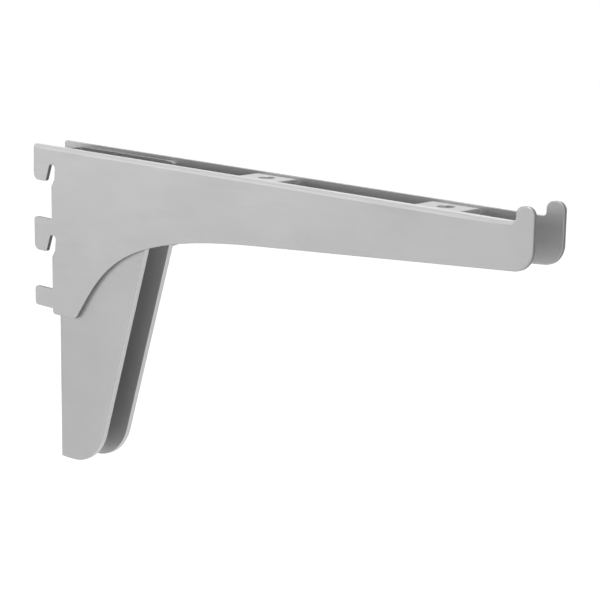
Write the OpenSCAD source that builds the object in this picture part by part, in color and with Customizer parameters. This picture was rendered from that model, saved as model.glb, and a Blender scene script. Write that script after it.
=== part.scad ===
// Hook-in shelf bracket: two stamped side plates, two bridges and a folded brace.
// X runs from the wall to the front, Y across the plates, Z up.
// The origin is level with the shelf seat, on the plates' rear edge, midway between them.

/* [Side plates] */
// Depth of the shelf seat, from the plates' rear edge to the lip
seat_l = 204; // [170:1:320]
// Distance between the middles of the two plates
row_pitch = 14.3; // [12:0.1:20]
// Thickness of the plates' sheet
plate_t = 1.5; // [1.2:0.1:2.5]
// Drop of the plates' foot below the plain tab
foot_drop = 2; // [1.8:0.1:8]
// Length of the plates' foot at the wall
foot_l = 12.6; // [10:0.1:18]
// Distance from the rear edge to where the lower edge turns straight
waist_x = 102; // [90:1:115]
// Height of the plates where the lower edge turns straight
waist_h = 21.5; // [19:0.1:26]
// Height of the plates at the front
front_h = 13.7; // [12:0.1:18]
// Angle at which the lower edge leaves the foot
rise_angle = 54; // [48:1:66]
// Radius of the lower front corner
front_r = 6.5; // [2:0.5:8]

/* [Lip] */
// Length of the lip along the arm
lip_l = 6.3; // [4:0.1:9]
// Height of the lip above the seat
lip_h = 4.5; // [4.5:0.1:12]

/* [Hooks] */
// Distance from one hook to the next
hook_pitch = 25.4; // [25:0.1:26]
// Drop of the hooks below the seat; the uppermost one still rises to the seat
hook_drop = 0.9; // [0:0.1:1.5]
// Reach of the hooks behind the plates' rear edge
hook_reach = 9.9; // [8:0.1:12]
// Height of a hook
hook_h = 12; // [11:0.1:13]
// Height of the plain tab at the bottom
tab_h = 7; // [6:0.1:7.5]
// Distance from the top of a hook to the top of its throat
throat_top = 5.8; // [5:0.1:8]
// Depth of the throat cut into the plate
throat_cut = 2.2; // [1.5:0.1:4]
// Distance from the top of a hook to the lower end of its throat
throat_end = 13.5; // [13:0.1:15]

/* [Bridges] */
// Length of a bridge along the arm
bridge_l = 17; // [12:0.5:20]
// Thickness of the bridges' sheet
bridge_t = 1.5; // [1:0.1:2]
// Height of a bridge
bridge_h = 9; // [6:0.5:11]
// Outer bend radius of a bridge
bridge_r = 2.5; // [2.2:0.1:4]
// Depth of the bridges' top below the seat
bridge_drop = 0.5; // [0:0.1:2]
// Diameter of the shelf screw's hole
screw_d = 5.5; // [3:0.1:7]
// Distance from the rear edge to the rear screw hole
rear_hole_x = 99.5; // [70:0.5:110]
// Distance from the front screw hole to the lip
front_hole_back = 31; // [15:0.5:40]

/* [Brace] */
// Thickness of the brace's sheet
brace_t = 1.9; // [1.2:0.1:2.5]
// Distance from the plates' rear edge to the brace's back
brace_x = 0.4; // [0.3:0.1:3]
// Depth of the brace's top below the seat
brace_drop = 1.2; // [0.2:0.1:3]
// Depth of the brace's lowest edge below the seat
brace_h = 113.6; // [95:0.1:140]
// Distance from the rear edge to the flanges' upright front edge
brace_top_x = 50.2; // [40:0.1:60]
// Depth below the seat at which the upright front edge ends
brace_knee = 25.4; // [15:0.1:28]
// Distance from the rear edge to the flanges' lowest front corner
brace_toe_x = 22; // [18:0.1:35]
// Outer bend radius along the brace's back
brace_r = 3.2; // [2.6:0.1:5]
// Radius of the flanges' lowest front corner
toe_r = 18.5; // [4:0.5:19]

/* [Hidden] */
$fn = 64;
// Width between the plates, which the bridges and the brace fill
inner_w = row_pitch - plate_t;
nose_x = seat_l + lip_l;
second_z = -hook_drop - hook_pitch;
tab_z = second_z - hook_pitch;
foot_z = tab_z - tab_h - foot_drop;
// Corner radii of the outline; arcs under the fine radius take half as many steps
fine_r = 2;
hook_top_r = 1.2;
hook_heel_r = 2.4;
hook_tip_r = 1;
throat_back_r = 0.6;
throat_front_r = 1.3;
throat_end_r = 0.8;
tab_top_r = 1.2;
tab_low_r = 1.4;
root_r = 0.6;
tab_root_r = 0.4;
foot_back_r = 1.3;
foot_front_r = 4.5;
lip_root_r = 1;
lip_r = min(0.4 * lip_l, lip_h - lip_root_r - 0.2);
brace_corner_r = 0.8;
brace_heel_r = 1;
brace_knee_r = 2;
// Rear edge of the throat at its top, and front of the hook's tip
throat_back_x = -0.9;
tip_x = -3.2;
// How far the throat's front edge leans back, and height of its lower slope
throat_lean = 0.5;
throat_slope = 2.5;
// Curved lower edge: height of its start above the foot and its two handle lengths
rise_start = 3;
rise_handle = 23;
waist_handle = 64;
// How far a cutting solid stands past what it cuts
over = 1;
steel = [0.76, 0.76, 0.77];

function unit(v) = v / norm(v);
function xz(p) = [p[0], p[1]];
function facing(v) = atan2(v[1], v[0]);

// Arc that rounds corner b between a and c, as [centre, radius, first angle, turn]
function corner(a, b, c, r) =
    let (
        u = unit(xz(a) - xz(b)),
        w = unit(xz(c) - xz(b)),
        half = acos(u * w) / 2,
        reach = r / tan(half),
        centre = xz(b) + unit(u + w) * r / sin(half),
        p0 = xz(b) + u * reach - centre,
        p1 = xz(b) + w * reach - centre
    )
    [centre, r, facing(p0), atan2(p0[0] * p1[1] - p0[1] * p1[0], p0 * p1)];

function arc_points(k) =
    let (steps = max(2, ceil(abs(k[3]) * (k[1] < fine_r ? $fn / 2 : $fn) / 360)))
    [for (i = [0:steps]) k[0] + k[1] * [cos(k[2] + k[3] * i / steps), sin(k[2] + k[3] * i / steps)]];

// Closed outline through [x, z, radius] points, each corner rounded by its radius
function rounded(path) =
    let (n = len(path))
    [for (i = [0:n - 1]) each (path[i][2] > 0
        ? arc_points(corner(path[(i + n - 1) % n], path[i], path[(i + 1) % n], path[i][2]))
        : [xz(path[i])])];

function bezier(p, t) =
    pow(1 - t, 3) * p[0] + 3 * pow(1 - t, 2) * t * p[1] + 3 * (1 - t) * t * t * p[2] + pow(t, 3) * p[3];

// Direction of the straight lower edge, from the front towards the wall
function lower_edge() = unit([waist_x - nose_x, front_h - waist_h]);

// Curved lower edge, from the waist down to the foot
function lower_curve(steps) =
    let (
        rise = [cos(rise_angle), sin(rise_angle)],
        start = [foot_l, foot_z] + rise * rise_start / sin(rise_angle),
        waist = [waist_x, -waist_h],
        handles = [waist, waist + lower_edge() * waist_handle, start + rise * rise_handle, start]
    )
    [for (i = [0:steps]) let (p = bezier(handles, i / steps)) [p[0], p[1], 0]];

// Rear edge of the hook at height z, from the throat's lower end up to the hook's top
function hook(z, top) = [
    [0, z - throat_end, throat_end_r],
    [throat_cut - throat_lean, z - throat_end + throat_slope, throat_end_r],
    [throat_cut, z - throat_top, throat_front_r],
    [throat_back_x, z - throat_top, throat_back_r],
    [tip_x, z - hook_h, hook_tip_r],
    [-hook_reach, z - hook_h, hook_heel_r],
    [-hook_reach, top, hook_top_r]
];

function plate_outline() = rounded(concat(
    [
        [seat_l, 0, lip_root_r],
        [seat_l, lip_h, lip_r],
        [nose_x, lip_h, lip_r],
        [nose_x, -front_h, front_r]
    ],
    lower_curve(24),
    [
        [foot_l, foot_z, foot_front_r],
        [0, foot_z, foot_back_r],
        [0, tab_z - tab_h, tab_root_r],
        [-hook_reach, tab_z - tab_h, tab_low_r],
        [-hook_reach, tab_z, tab_top_r],
        [0, tab_z, root_r]
    ],
    hook(second_z, second_z),
    [[0, second_z, root_r]],
    hook(-hook_drop, 0)
));

// Plate lying flat, its inner face down
module flat_plate() {
    linear_extrude(plate_t) polygon(plate_outline());
}

module side_plate_left() {
    color(steel) translate([0, -inner_w / 2, 0]) rotate([90, 0, 0]) flat_plate();
}

module side_plate_right() {
    color(steel) mirror([0, 1, 0]) translate([0, -inner_w / 2, 0]) rotate([90, 0, 0]) flat_plate();
}

// Section of a folded channel: web along the Y axis, flanges leading to +X
module channel_section(w, l, t, r) {
    difference() {
        polygon(rounded([[0, -w / 2, r], [0, w / 2, r], [l, w / 2, 0], [l, -w / 2, 0]]));
        translate([t, 0]) polygon(rounded([
            [0, t - w / 2, r - t],
            [0, w / 2 - t, r - t],
            [l, w / 2 - t, 0],
            [l, t - w / 2, 0]
        ]));
    }
}

// Folded bridge with its screw hole at x
module bridge(x) {
    difference() {
        translate([x - bridge_l / 2, 0, -bridge_drop])
            rotate([0, 90, 0]) linear_extrude(bridge_l)
            channel_section(inner_w, bridge_h, bridge_t, bridge_r);
        translate([x, 0, -bridge_drop - bridge_t - over]) cylinder(d = screw_d, h = bridge_t + 2 * over);
    }
}

module rear_bridge() {
    color(steel) bridge(rear_hole_x);
}

module front_bridge() {
    color(steel) bridge(seat_l - front_hole_back);
}

// Side view of the brace, in X and Z
module brace_side() {
    polygon(rounded([
        [brace_x, -brace_drop, brace_corner_r],
        [brace_top_x, -brace_drop, brace_corner_r],
        [brace_top_x, -brace_knee, brace_knee_r],
        [brace_toe_x, -brace_h, toe_r],
        [brace_x, -brace_h, brace_heel_r]
    ]));
}

module brace_channel() {
    color(steel) intersection() {
        translate([brace_x, 0, -brace_h - over])
            linear_extrude(brace_h + 2 * over)
            channel_section(inner_w, brace_top_x, brace_t, brace_r);
        translate([0, inner_w, 0]) rotate([90, 0, 0]) linear_extrude(2 * inner_w) brace_side();
    }
}

side_plate_left();
side_plate_right();
rear_bridge();
front_bridge();
brace_channel();
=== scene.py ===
"""Shelf bracket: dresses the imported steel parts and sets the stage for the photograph's view."""

import math

import bpy
from bpy.props import FloatProperty, FloatVectorProperty, PointerProperty
from bpy.types import Operator, Panel, PropertyGroup
from mathutils import Matrix, Vector


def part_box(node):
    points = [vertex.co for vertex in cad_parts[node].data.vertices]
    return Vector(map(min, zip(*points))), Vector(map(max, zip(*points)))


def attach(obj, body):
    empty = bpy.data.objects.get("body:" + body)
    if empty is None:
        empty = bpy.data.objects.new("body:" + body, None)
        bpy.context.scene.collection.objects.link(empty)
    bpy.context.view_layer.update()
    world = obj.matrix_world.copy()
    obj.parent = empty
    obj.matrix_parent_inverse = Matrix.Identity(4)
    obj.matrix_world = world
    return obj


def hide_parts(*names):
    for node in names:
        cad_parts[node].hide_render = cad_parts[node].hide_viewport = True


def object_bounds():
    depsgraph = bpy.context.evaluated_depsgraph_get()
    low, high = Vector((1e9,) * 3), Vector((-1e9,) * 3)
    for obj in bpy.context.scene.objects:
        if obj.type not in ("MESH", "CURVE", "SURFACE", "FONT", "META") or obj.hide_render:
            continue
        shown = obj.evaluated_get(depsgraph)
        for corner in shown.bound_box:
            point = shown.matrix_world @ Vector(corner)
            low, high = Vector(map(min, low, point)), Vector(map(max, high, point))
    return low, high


bl_info = {
    "name": "Shelf Bracket",
    "version": (1, 0, 0),
    "blender": (4, 5, 0),
    "location": "View3D > Sidebar > Bracket",
    "description": "Rolls the edges of a hook-in shelf bracket, plates it and sets its stage",
    "category": "Object",
}

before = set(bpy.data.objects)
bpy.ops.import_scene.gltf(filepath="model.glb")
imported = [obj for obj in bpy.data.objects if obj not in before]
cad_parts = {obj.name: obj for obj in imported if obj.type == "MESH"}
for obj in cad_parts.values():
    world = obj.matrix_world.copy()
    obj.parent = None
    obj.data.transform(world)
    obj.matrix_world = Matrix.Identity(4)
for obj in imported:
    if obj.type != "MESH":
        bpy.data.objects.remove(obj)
CAD_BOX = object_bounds()
PLATES = ("side_plate_left", "side_plate_right")
BRIDGES = ("rear_bridge", "front_bridge")
BRACE = "brace_channel"
MM = 0.001
# Longest run between two corners of a plate's outline
STEP = 1.6 * MM
# Depth of the band along the seat, length of the lip with its root and reach of the lower front corner
SEAT_BAND = 1.25 * MM
LIP_LENGTH = 7 * MM
NOSE_CORNER = 6 * MM
# Depth of a roll into the sheet, as a share of its reach along the face
ROLL_DEPTH = 0.5
# Length of the brace's bend, whose ends stay sharp
BRACE_BEND = 6 * MM
# Places of the cut edges' materials in a piece's list: darker cut edges with painted shade, cut edges with a
# painted highlight, and the seat roll with a painted highlight
SHADED_CUT = 1
HIGHLIT_CUT = 2
HIGHLIT_ROLL = 3


class BracketEdges(PropertyGroup):
    """How far the stamped sheets' edges are rolled."""

    rolled: FloatProperty(
        name="Rolled seat", description="Roll of the plates' outer edge along the shelf seat",
        default=1.6 * MM, min=0.3 * MM, max=2 * MM, unit="LENGTH")
    front: FloatProperty(
        name="Rolled front", description="Roll of the plates' outer edge at the lip and the front",
        default=0.8 * MM, min=0.25 * MM, max=1.2 * MM, unit="LENGTH")
    broken: FloatProperty(
        name="Broken edge", description="Rounding of every other sheared edge",
        default=0.22 * MM, min=0.05 * MM, max=0.5 * MM, unit="LENGTH")


class BracketPlating(PropertyGroup):
    """Colour and grain of the zinc plating, and the colours of the cut edges and the seat roll, with painted shade
    and painted highlights.
    """

    colour: FloatVectorProperty(
        name="Plating", description="Colour of the plated steel",
        default=(0.555, 0.553, 0.555), min=0, max=1, size=3, subtype="COLOR")
    dull_colour: FloatVectorProperty(
        name="Dull plating", description="Colour where the plating is thin or handled",
        default=(0.515, 0.515, 0.52), min=0, max=1, size=3, subtype="COLOR")
    # Darker cut edges: a duller tone than the plating, darkened further as painted shade
    shaded_cut_colour: FloatVectorProperty(
        name="Sheared edge", description="Colour of the sheets' cut edges",
        default=(0.29, 0.29, 0.295), min=0, max=1, size=3, subtype="COLOR")
    # Painted highlight on the cut edges of the brace and the bridges that face the front
    cut_highlight_colour: FloatVectorProperty(
        name="Bright edge", description="Colour of the brace's and the bridges' cut edges",
        default=(0.80, 0.80, 0.80), min=0, max=1, size=3, subtype="COLOR")
    # Painted highlight on the roll along the seat
    roll_highlight_colour: FloatVectorProperty(
        name="Rolled edge", description="Colour of the roll's painted highlight along the seat",
        default=(0.63, 0.63, 0.63), min=0, max=1, size=3, subtype="COLOR")
    metallic: FloatProperty(
        name="Metallic", description="How metallic the plating is",
        default=0.35, min=0, max=1, subtype="FACTOR")
    roughness: FloatProperty(
        name="Roughness", description="Mean roughness of the plating",
        default=0.45, min=0.05, max=1, subtype="FACTOR")
    grain: FloatProperty(
        name="Grain", description="Size of the plating's fine grain",
        default=0.35 * MM, min=0.05 * MM, max=5 * MM, unit="LENGTH")


class BracketStage(PropertyGroup):
    """Camera, lamps, floor and background."""

    camera_place: FloatVectorProperty(
        name="Camera", description="Where the camera stands",
        default=(0.49917, -0.40407, 0.08432), size=3, subtype="TRANSLATION")
    heading: FloatProperty(
        name="Heading", description="Turn of the view from the row's Y axis towards the wall",
        default=math.radians(43.55), subtype="ANGLE")
    tilt: FloatProperty(
        name="Tilt", description="How far the camera looks down",
        default=math.radians(12.37), subtype="ANGLE")
    roll: FloatProperty(
        name="Roll", description="Roll of the camera",
        default=-0.01713, subtype="ANGLE")
    lens: FloatProperty(
        name="Lens", description="Focal length on a 36 mm sensor, in millimetres",
        default=108, min=20, max=400)
    floor_drop: FloatProperty(
        name="Floor", description="How far the floor lies below the bracket",
        default=0.16, min=0, max=1, unit="LENGTH")
    room_light: FloatProperty(
        name="Room light", description="Strength of the even light of the room",
        default=0.06, min=0, max=2)


def deselect():
    if bpy.context.object and bpy.context.object.mode != "OBJECT":
        bpy.ops.object.mode_set(mode="OBJECT")
    bpy.ops.object.select_all(action="DESELECT")


def copied_sheet(node, name):
    """A merged copy of a packed sheet, with its flat faces made whole."""
    deselect()
    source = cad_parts[node]
    piece = source.copy()
    piece.data = source.data.copy()
    piece.name = piece.data.name = name
    for key in [k for k in piece.keys() if k.startswith("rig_")]:
        del piece[key]
    bpy.context.scene.collection.objects.link(piece)
    piece.parent = None
    piece.select_set(True)
    bpy.context.view_layer.objects.active = piece
    bpy.ops.object.mode_set(mode="EDIT")
    bpy.ops.mesh.select_all(action="SELECT")
    bpy.ops.mesh.remove_doubles(threshold=2e-6)
    bpy.ops.mesh.dissolve_limited(angle_limit=math.radians(0.4))
    bpy.ops.object.mode_set(mode="OBJECT")
    return piece


def sharp_edges(piece, limit):
    """Edges whose two faces meet at more than the limit, with those faces."""
    mesh = piece.data
    sides = {}
    for face in mesh.polygons:
        for key in face.edge_keys:
            sides.setdefault(key, []).append(face)
    found = {}
    for edge in mesh.edges:
        faces = sides.get(tuple(sorted(edge.vertices)), [])
        if len(faces) == 2 and faces[0].normal.angle(faces[1].normal, 0) > limit:
            found[edge.index] = faces
    return found


def round_edges(piece, width, weights, segments):
    """Rolls the weighted edges and keeps the flat faces flat."""
    mesh = piece.data
    layer = mesh.attributes.new("bevel_weight_edge", "FLOAT", "EDGE")
    for index, weight in weights.items():
        layer.data[index].value = weight
    bevel = piece.modifiers.new("rolled edges", "BEVEL")
    bevel.limit_method = "WEIGHT"
    bevel.width = width
    bevel.segments = segments
    bevel.use_clamp_overlap = False
    bevel.miter_outer = "MITER_SHARP"
    deselect()
    piece.select_set(True)
    bpy.context.view_layer.objects.active = piece
    bpy.ops.object.modifier_apply(modifier=bevel.name)
    bpy.ops.object.mode_set(mode="EDIT")
    bpy.ops.mesh.select_all(action="SELECT")
    bpy.ops.mesh.remove_doubles(threshold=2e-6)
    bpy.ops.mesh.dissolve_degenerate(threshold=1e-6)
    bpy.ops.mesh.quads_convert_to_tris(quad_method="BEAUTY", ngon_method="BEAUTY")
    bpy.ops.object.mode_set(mode="OBJECT")
    even_shading(piece)


def even_shading(piece):
    """Smooth rounded edges between flat faces that stay flat."""
    deselect()
    piece.select_set(True)
    bpy.context.view_layer.objects.active = piece
    bpy.ops.object.shade_smooth_by_angle(angle=math.radians(38))
    even = piece.modifiers.new("even shading", "WEIGHTED_NORMAL")
    even.weight = 60
    even.keep_sharp = True
    bpy.ops.object.modifier_apply(modifier=even.name)


def finish_piece(piece, node, materials):
    piece.data.materials.clear()
    for material in materials:
        piece.data.materials.append(material)
    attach(piece, "root")
    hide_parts(node)


def grain_group():
    """Fine grain, clouding and handling streaks of zinc plating, as masks and a height."""
    name = "Plating grain"
    if name in bpy.data.node_groups:
        return bpy.data.node_groups[name]
    group = bpy.data.node_groups.new(name, "ShaderNodeTree")
    face = group.interface
    face.new_socket("Grain size", in_out="INPUT", socket_type="NodeSocketFloat").default_value = 0.35 * MM
    face.new_socket("Cloud size", in_out="INPUT", socket_type="NodeSocketFloat").default_value = 0.03
    face.new_socket("Cloud", in_out="OUTPUT", socket_type="NodeSocketFloat")
    face.new_socket("Grain", in_out="OUTPUT", socket_type="NodeSocketFloat")
    face.new_socket("Streak", in_out="OUTPUT", socket_type="NodeSocketFloat")
    nodes, links = group.nodes, group.links
    given = nodes.new("NodeGroupInput")
    out = nodes.new("NodeGroupOutput")
    place = nodes.new("ShaderNodeTexCoord")
    for label, size_socket, detail, target in (
            ("grain", "Grain size", 3.0, "Grain"), ("cloud", "Cloud size", 4.0, "Cloud")):
        per = nodes.new("ShaderNodeMath")
        per.operation = "DIVIDE"
        per.inputs[0].default_value = 1.0
        links.new(given.outputs[size_socket], per.inputs[1])
        noise = nodes.new("ShaderNodeTexNoise")
        noise.label = label
        noise.inputs["Detail"].default_value = detail
        links.new(place.outputs["Object"], noise.inputs["Vector"])
        links.new(per.outputs[0], noise.inputs["Scale"])
        links.new(noise.outputs["Fac"], out.inputs[target])
    stretch = nodes.new("ShaderNodeMapping")
    stretch.inputs["Scale"].default_value = (60, 900, 1400)
    stretch.inputs["Rotation"].default_value = (0, math.radians(3), 0)
    links.new(place.outputs["Object"], stretch.inputs["Vector"])
    streak = nodes.new("ShaderNodeTexNoise")
    streak.inputs["Scale"].default_value = 1.0
    streak.inputs["Detail"].default_value = 5.0
    links.new(stretch.outputs["Vector"], streak.inputs["Vector"])
    links.new(streak.outputs["Fac"], out.inputs["Streak"])
    return group


def plating(name, colour, dull, roughness, metallic, cloud_size, grain_size, bump):
    """Satin zinc plating: clouded colour and roughness with a fine grain."""
    material = bpy.data.materials.new(name)
    material.use_nodes = True
    nodes, links = material.node_tree.nodes, material.node_tree.links
    shader = nodes["Principled BSDF"]
    shader.inputs["Metallic"].default_value = metallic
    grain = nodes.new("ShaderNodeGroup")
    grain.node_tree = grain_group()
    grain.inputs["Grain size"].default_value = grain_size
    grain.inputs["Cloud size"].default_value = cloud_size
    tint = nodes.new("ShaderNodeMix")
    tint.data_type = "RGBA"
    tint.inputs["A"].default_value = (*dull, 1)
    tint.inputs["B"].default_value = (*colour, 1)
    spread = nodes.new("ShaderNodeMapRange")
    spread.inputs["From Min"].default_value = 0.3
    spread.inputs["From Max"].default_value = 0.62
    links.new(grain.outputs["Cloud"], spread.inputs["Value"])
    links.new(spread.outputs["Result"], tint.inputs["Factor"])
    links.new(tint.outputs["Result"], shader.inputs["Base Color"])
    rough = nodes.new("ShaderNodeMapRange")
    rough.inputs["From Min"].default_value = 0.3
    rough.inputs["From Max"].default_value = 0.7
    rough.inputs["To Min"].default_value = roughness - 0.06
    rough.inputs["To Max"].default_value = roughness + 0.06
    links.new(grain.outputs["Streak"], rough.inputs["Value"])
    links.new(rough.outputs["Result"], shader.inputs["Roughness"])
    height = nodes.new("ShaderNodeBump")
    height.inputs["Strength"].default_value = bump
    height.inputs["Distance"].default_value = 0.02 * MM
    links.new(grain.outputs["Grain"], height.inputs["Height"])
    links.new(height.outputs["Normal"], shader.inputs["Normal"])
    return material


def bracket_materials():
    look = bpy.context.scene.bracket_plating
    if "zinc plating" not in bpy.data.materials:
        plating("zinc plating", look.colour, look.dull_colour, look.roughness, look.metallic,
                0.035, look.grain, 0.25)
        # Darker cut edges: a duller tone with painted shade added
        plating("sheared edge", look.shaded_cut_colour, look.shaded_cut_colour, look.roughness + 0.08, look.metallic,
                0.006, look.grain * 0.7, 0.5)
        # Painted highlight on front-facing cut edges
        plating("bright edge", look.cut_highlight_colour, look.cut_highlight_colour, look.roughness, look.metallic,
                0.006, look.grain * 0.7, 0.5)
        # Painted highlight on the roll along the seat
        plating("rolled edge", look.roll_highlight_colour, look.roll_highlight_colour, look.roughness, look.metallic,
                0.006, look.grain, 0.25)
    return [bpy.data.materials[name] for name in ("zinc plating", "sheared edge", "bright edge", "rolled edge")]


def cap_outline(mesh, level):
    """Corners of the sheet's flat side at a level of Y, in order, as (x, z), with long runs divided."""
    caps = [face for face in mesh.polygons if all(abs(mesh.vertices[v].co.y - level) < 1e-6 for v in face.vertices)]
    cap = max(caps, key=lambda face: face.area)
    corners = [Vector((mesh.vertices[v].co.x, mesh.vertices[v].co.z)) for v in cap.vertices]
    if sum(a.cross(b) for a, b in zip(corners, corners[1:] + corners[:1])) < 0:
        corners.reverse()
    outline = []
    for start, end in zip(corners, corners[1:] + corners[:1]):
        pieces = max(1, math.ceil((end - start).length / STEP))
        outline += [start.lerp(end, step / pieces) for step in range(pieces)]
    return outline


def inward(outline):
    """At each corner of an outline that runs anticlockwise, its mitred inward direction and its turn."""
    found = []
    for i, corner in enumerate(outline):
        before = (corner - outline[i - 1]).normalized()
        after = (outline[(i + 1) % len(outline)] - corner).normalized()
        first, second = Vector((-before.y, before.x)), Vector((-after.y, after.x))
        found.append(((first + second) / (1 + first.dot(second)), before.angle_signed(after, 0)))
    return found


def wanted_roll(place, outward, low, high, edges):
    """Roll of the outer edge at a place of the outline whose side faces outward."""
    if place.x < high - LIP_LENGTH and place.y > -SEAT_BAND and outward.y > 0:
        return edges.broken + (edges.rolled - edges.broken) * outward.y
    if place.y > -SEAT_BAND:
        return edges.front
    if place.x > high - 2 * NOSE_CORNER and outward.x > -0.1:
        return edges.broken + (edges.front - edges.broken) * max(0, outward.x)
    return edges.broken


def graded_rolls(outline, turns, edges):
    """Roll of the outer edge at each corner of the outline, eased along it and held inside tight corners."""
    low, high = min(p.x for p in outline), max(p.x for p in outline)
    count = len(outline)
    rolls = [wanted_roll(place, -inner, low, high, edges) for place, (inner, _) in zip(outline, turns)]
    lengths = [(outline[(i + 1) % count] - outline[i]).length for i in range(count)]
    for _ in range(30):
        rolls = [
            (lengths[i] * rolls[i - 1] + (lengths[i] + lengths[i - 1]) * rolls[i] + lengths[i - 1] * rolls[(i + 1) % count])
            / (2 * (lengths[i] + lengths[i - 1])) for i in range(count)]
    for i, (_, turn) in enumerate(turns):
        if abs(turn) > math.radians(2):
            rolls[i] = min(rolls[i], 0.85 * (lengths[i] + lengths[i - 1]) / 2 / abs(turn))
    return rolls


def rolled_sheet(piece, outer, inner, edges):
    """Builds the flat sheet anew between its two sides, with a graded roll round its outer side."""
    outline = cap_outline(piece.data, outer)
    turns = inward(outline)
    rolls = graded_rolls(outline, turns, edges)
    toward = 1 if outer > inner else -1
    quarter = [math.pi / 2 * step / 5 for step in range(6)]
    rings = []
    for angle in quarter[::-1]:
        rings.append([(edges.broken * (1 - math.cos(angle)), inner + toward * edges.broken * (1 - math.sin(angle)))
                      for _ in outline])
    for angle in quarter:
        rings.append([(roll * (1 - math.cos(angle)), outer - toward * roll * ROLL_DEPTH * (1 - math.sin(angle)))
                      for roll in rolls])
    count = len(outline)
    places = []
    for ring in rings:
        for corner, (inset, _), (depth, level) in zip(outline, turns, ring):
            at = corner + inset * depth
            places.append((at.x, level, at.y))
    faces = [tuple(range(count)), tuple(reversed(range((len(rings) - 1) * count, len(rings) * count)))]
    for r in range(len(rings) - 1):
        for i in range(count):
            j = (i + 1) % count
            faces.append((r * count + i, (r + 1) * count + i, (r + 1) * count + j, r * count + j))
    piece.data.clear_geometry()
    piece.data.from_pydata(places, [], faces)
    piece.data.update()
    deselect()
    piece.select_set(True)
    bpy.context.view_layer.objects.active = piece
    bpy.ops.object.mode_set(mode="EDIT")
    bpy.ops.mesh.select_all(action="SELECT")
    bpy.ops.mesh.normals_make_consistent(inside=False)
    bpy.ops.object.mode_set(mode="OBJECT")


class BRACKET_OT_side_plates(Operator):
    """Make the two stamped side plates with their rolled outer edges"""

    bl_idname = "bracket.side_plates"
    bl_label = "Side plates"

    def execute(self, context):
        edges = context.scene.bracket_edges
        materials = bracket_materials()
        for node in PLATES:
            low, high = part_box(node)
            piece = copied_sheet(node, node + "_plated")
            outer, inner = (low.y, high.y) if node == PLATES[0] else (high.y, low.y)
            rolled_sheet(piece, outer, inner, edges)
            even_shading(piece)
            finish_piece(piece, node, materials)
            for face in piece.data.polygons:
                # Painted highlight: the upward faces of the roll along the seat, short of the lip
                if face.normal.z > 0.05 and face.center.z > -edges.rolled and face.center.x < high.x - LIP_LENGTH:
                    face.material_index = HIGHLIT_ROLL
                # The plates' other cut edges get the darker colour, partly painted shade
                elif abs(face.normal.y) < 0.25:
                    face.material_index = SHADED_CUT
        return {"FINISHED"}


class BRACKET_OT_bridges(Operator):
    """Make the two folded bridges with their screw holes"""

    bl_idname = "bracket.bridges"
    bl_label = "Bridges"

    def execute(self, context):
        edges = context.scene.bracket_edges
        materials = bracket_materials()
        for node in BRIDGES:
            piece = copied_sheet(node, node + "_plated")
            weights = {i: 1.0 for i in sharp_edges(piece, math.radians(50))}
            round_edges(piece, edges.broken, weights, 2)
            finish_piece(piece, node, materials)
            for face in piece.data.polygons:
                # Painted highlight on the bridges' cut ends
                if abs(face.normal.x) > 0.6:
                    face.material_index = HIGHLIT_CUT
        return {"FINISHED"}


class BRACKET_OT_brace(Operator):
    """Make the folded brace"""

    bl_idname = "bracket.brace"
    bl_label = "Brace"

    def execute(self, context):
        edges = context.scene.bracket_edges
        materials = bracket_materials()
        piece = copied_sheet(BRACE, BRACE + "_plated")
        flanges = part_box(BRACE)[0].x + BRACE_BEND
        mesh = piece.data
        weights = {
            i: 1.0 for i in sharp_edges(piece, math.radians(40))
            if all(mesh.vertices[v].co.x > flanges for v in mesh.edges[i].vertices)}
        round_edges(piece, edges.broken * 1.4, weights, 3)
        finish_piece(piece, BRACE, materials)
        for face in piece.data.polygons:
            # Painted shade on the brace's upward cut edges, which lie under the arm's top
            if face.normal.z > 0.6:
                face.material_index = SHADED_CUT
            # Painted highlight on the brace's cut edges that face the front
            elif face.normal.x > 0.25 and abs(face.normal.y) < 0.8:
                face.material_index = HIGHLIT_CUT
        return {"FINISHED"}


def area_lamp(name, place, target, size, power):
    deselect()
    bpy.ops.object.light_add(type="AREA", location=place)
    lamp = bpy.context.object
    lamp.name = name
    lamp.data.shape = "RECTANGLE"
    lamp.data.size, lamp.data.size_y = size
    lamp.data.energy = power
    lamp.rotation_mode = "QUATERNION"
    lamp.rotation_quaternion = (Vector(target) - Vector(place)).to_track_quat("-Z", "Y")
    return lamp


def seen_white(nodes, links, lit, white, target):
    """Shows white to the camera and to reflections and lights the scene with what is lit."""
    path = nodes.new("ShaderNodeLightPath")
    seen = path.outputs["Is Camera Ray"]
    for ray in ("Is Glossy Ray", "Is Transmission Ray"):
        either = nodes.new("ShaderNodeMath")
        either.operation = "MAXIMUM"
        links.new(seen, either.inputs[0])
        links.new(path.outputs[ray], either.inputs[1])
        seen = either.outputs[0]
    mix = nodes.new("ShaderNodeMixShader")
    links.new(seen, mix.inputs["Fac"])
    links.new(lit, mix.inputs[1])
    links.new(white, mix.inputs[2])
    links.new(mix.outputs[0], target)


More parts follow.
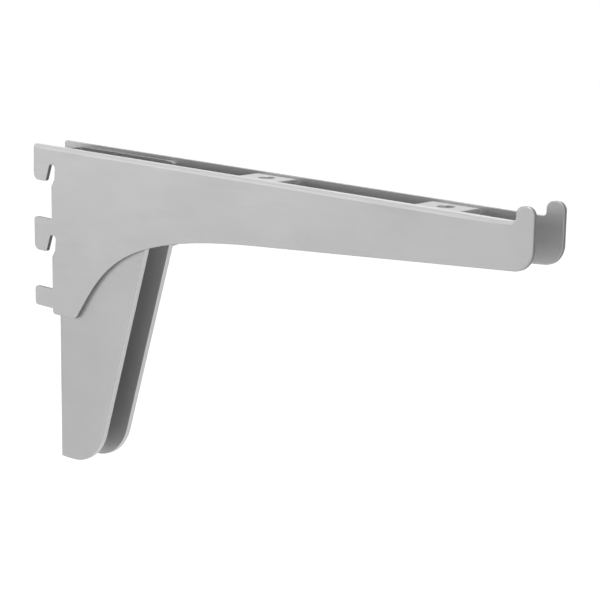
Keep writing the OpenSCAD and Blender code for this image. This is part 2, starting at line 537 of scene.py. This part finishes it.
class BRACKET_OT_stage(Operator):
    """Set up the floor, the room, the lamps and the camera"""

    bl_idname = "bracket.stage"
    bl_label = "Stage"

    def execute(self, context):
        stage = context.scene.bracket_stage
        low, high = CAD_BOX
        centre = (low + high) / 2
        deselect()
        bpy.ops.mesh.primitive_plane_add(size=40, location=(centre.x, centre.y, low.z - stage.floor_drop))
        floor = context.object
        floor.name = "floor"
        paper = bpy.data.materials.new("white paper")
        paper.use_nodes = True
        nodes, links = paper.node_tree.nodes, paper.node_tree.links
        shader = nodes["Principled BSDF"]
        shader.inputs["Base Color"].default_value = (0.5, 0.5, 0.5, 1)
        shader.inputs["Roughness"].default_value = 0.9
        shader.inputs["Specular IOR Level"].default_value = 0.1
        glow = nodes.new("ShaderNodeEmission")
        glow.inputs["Strength"].default_value = 0.95
        both = nodes.new("ShaderNodeAddShader")
        links.new(shader.outputs["BSDF"], both.inputs[0])
        links.new(glow.outputs[0], both.inputs[1])
        seen_white(nodes, links, shader.outputs["BSDF"], both.outputs[0],
                   nodes["Material Output"].inputs["Surface"])
        floor.data.materials.append(paper)

        world = bpy.data.worlds.new("white room")
        context.scene.world = world
        world.use_nodes = True
        nodes, links = world.node_tree.nodes, world.node_tree.links
        room = nodes["Background"]
        room.inputs["Color"].default_value = (1, 1, 1, 1)
        room.inputs["Strength"].default_value = stage.room_light
        white = nodes.new("ShaderNodeBackground")
        white.inputs["Color"].default_value = (1, 1, 1, 1)
        white.inputs["Strength"].default_value = 1.0
        seen_white(nodes, links, room.outputs[0], white.outputs[0], nodes["World Output"].inputs["Surface"])

        area_lamp("key", (0.3, -1.25, 0.0), (0.1, 0, -0.03), (1.3, 0.4), 2.6)
        area_lamp("left", (-0.7, -0.8, 0.0), (0.05, 0, -0.03), (0.5, 0.4), 1.4)
        area_lamp("right", (1.0, -0.8, 0.0), (0.1, 0, -0.03), (0.4, 0.4), 1.2)
        area_lamp("top", (0.0, -0.05, 1.1), (0.1, 0, 0), (0.4, 0.3), 11)

        heading, tilt, roll = stage.heading, stage.tilt, stage.roll
        ahead = Vector((-math.sin(heading) * math.cos(tilt), math.cos(heading) * math.cos(tilt), -math.sin(tilt)))
        level = Vector((math.cos(heading), math.sin(heading), 0))
        above = level.cross(ahead)
        right = level * math.cos(roll) - above * math.sin(roll)
        up = level * math.sin(roll) + above * math.cos(roll)
        deselect()
        bpy.ops.object.camera_add(location=stage.camera_place)
        camera = context.object
        camera.name = "camera"
        turned = Matrix((right, up, -ahead)).transposed()
        camera.rotation_mode = "QUATERNION"
        camera.rotation_quaternion = turned.to_quaternion()
        camera.data.lens = stage.lens
        camera.data.sensor_width = 36
        camera.data.clip_start = 0.01
        context.scene.camera = camera
        context.scene.view_settings.view_transform = "Standard"
        return {"FINISHED"}


class BRACKET_PT_panel(Panel):
    """Lists the bracket's steps"""

    bl_idname = "BRACKET_PT_panel"
    bl_label = "Shelf bracket"
    bl_space_type = "VIEW_3D"
    bl_region_type = "UI"
    bl_category = "Bracket"

    def draw(self, context):
        scene = context.scene
        for group in (scene.bracket_edges, scene.bracket_plating, scene.bracket_stage):
            box = self.layout.box()
            for name in group.bl_rna.properties.keys():
                if name not in {"rna_type", "name"}:
                    box.prop(group, name)
        for operator in (BRACKET_OT_side_plates, BRACKET_OT_bridges, BRACKET_OT_brace, BRACKET_OT_stage):
            self.layout.operator(operator.bl_idname)


CLASSES = (
    BracketEdges,
    BracketPlating,
    BracketStage,
    BRACKET_OT_side_plates,
    BRACKET_OT_bridges,
    BRACKET_OT_brace,
    BRACKET_OT_stage,
    BRACKET_PT_panel,
)


def register():
    for cls in CLASSES:
        bpy.utils.register_class(cls)
    bpy.types.Scene.bracket_edges = PointerProperty(type=BracketEdges)
    bpy.types.Scene.bracket_plating = PointerProperty(type=BracketPlating)
    bpy.types.Scene.bracket_stage = PointerProperty(type=BracketStage)


def unregister():
    del bpy.types.Scene.bracket_stage
    del bpy.types.Scene.bracket_plating
    del bpy.types.Scene.bracket_edges
    for cls in reversed(CLASSES):
        bpy.utils.unregister_class(cls)


def main():
    register()
    bpy.ops.bracket.stage()
    bpy.ops.bracket.side_plates()
    bpy.ops.bracket.bridges()
    bpy.ops.bracket.brace()


if __name__ == "__main__":
    main()
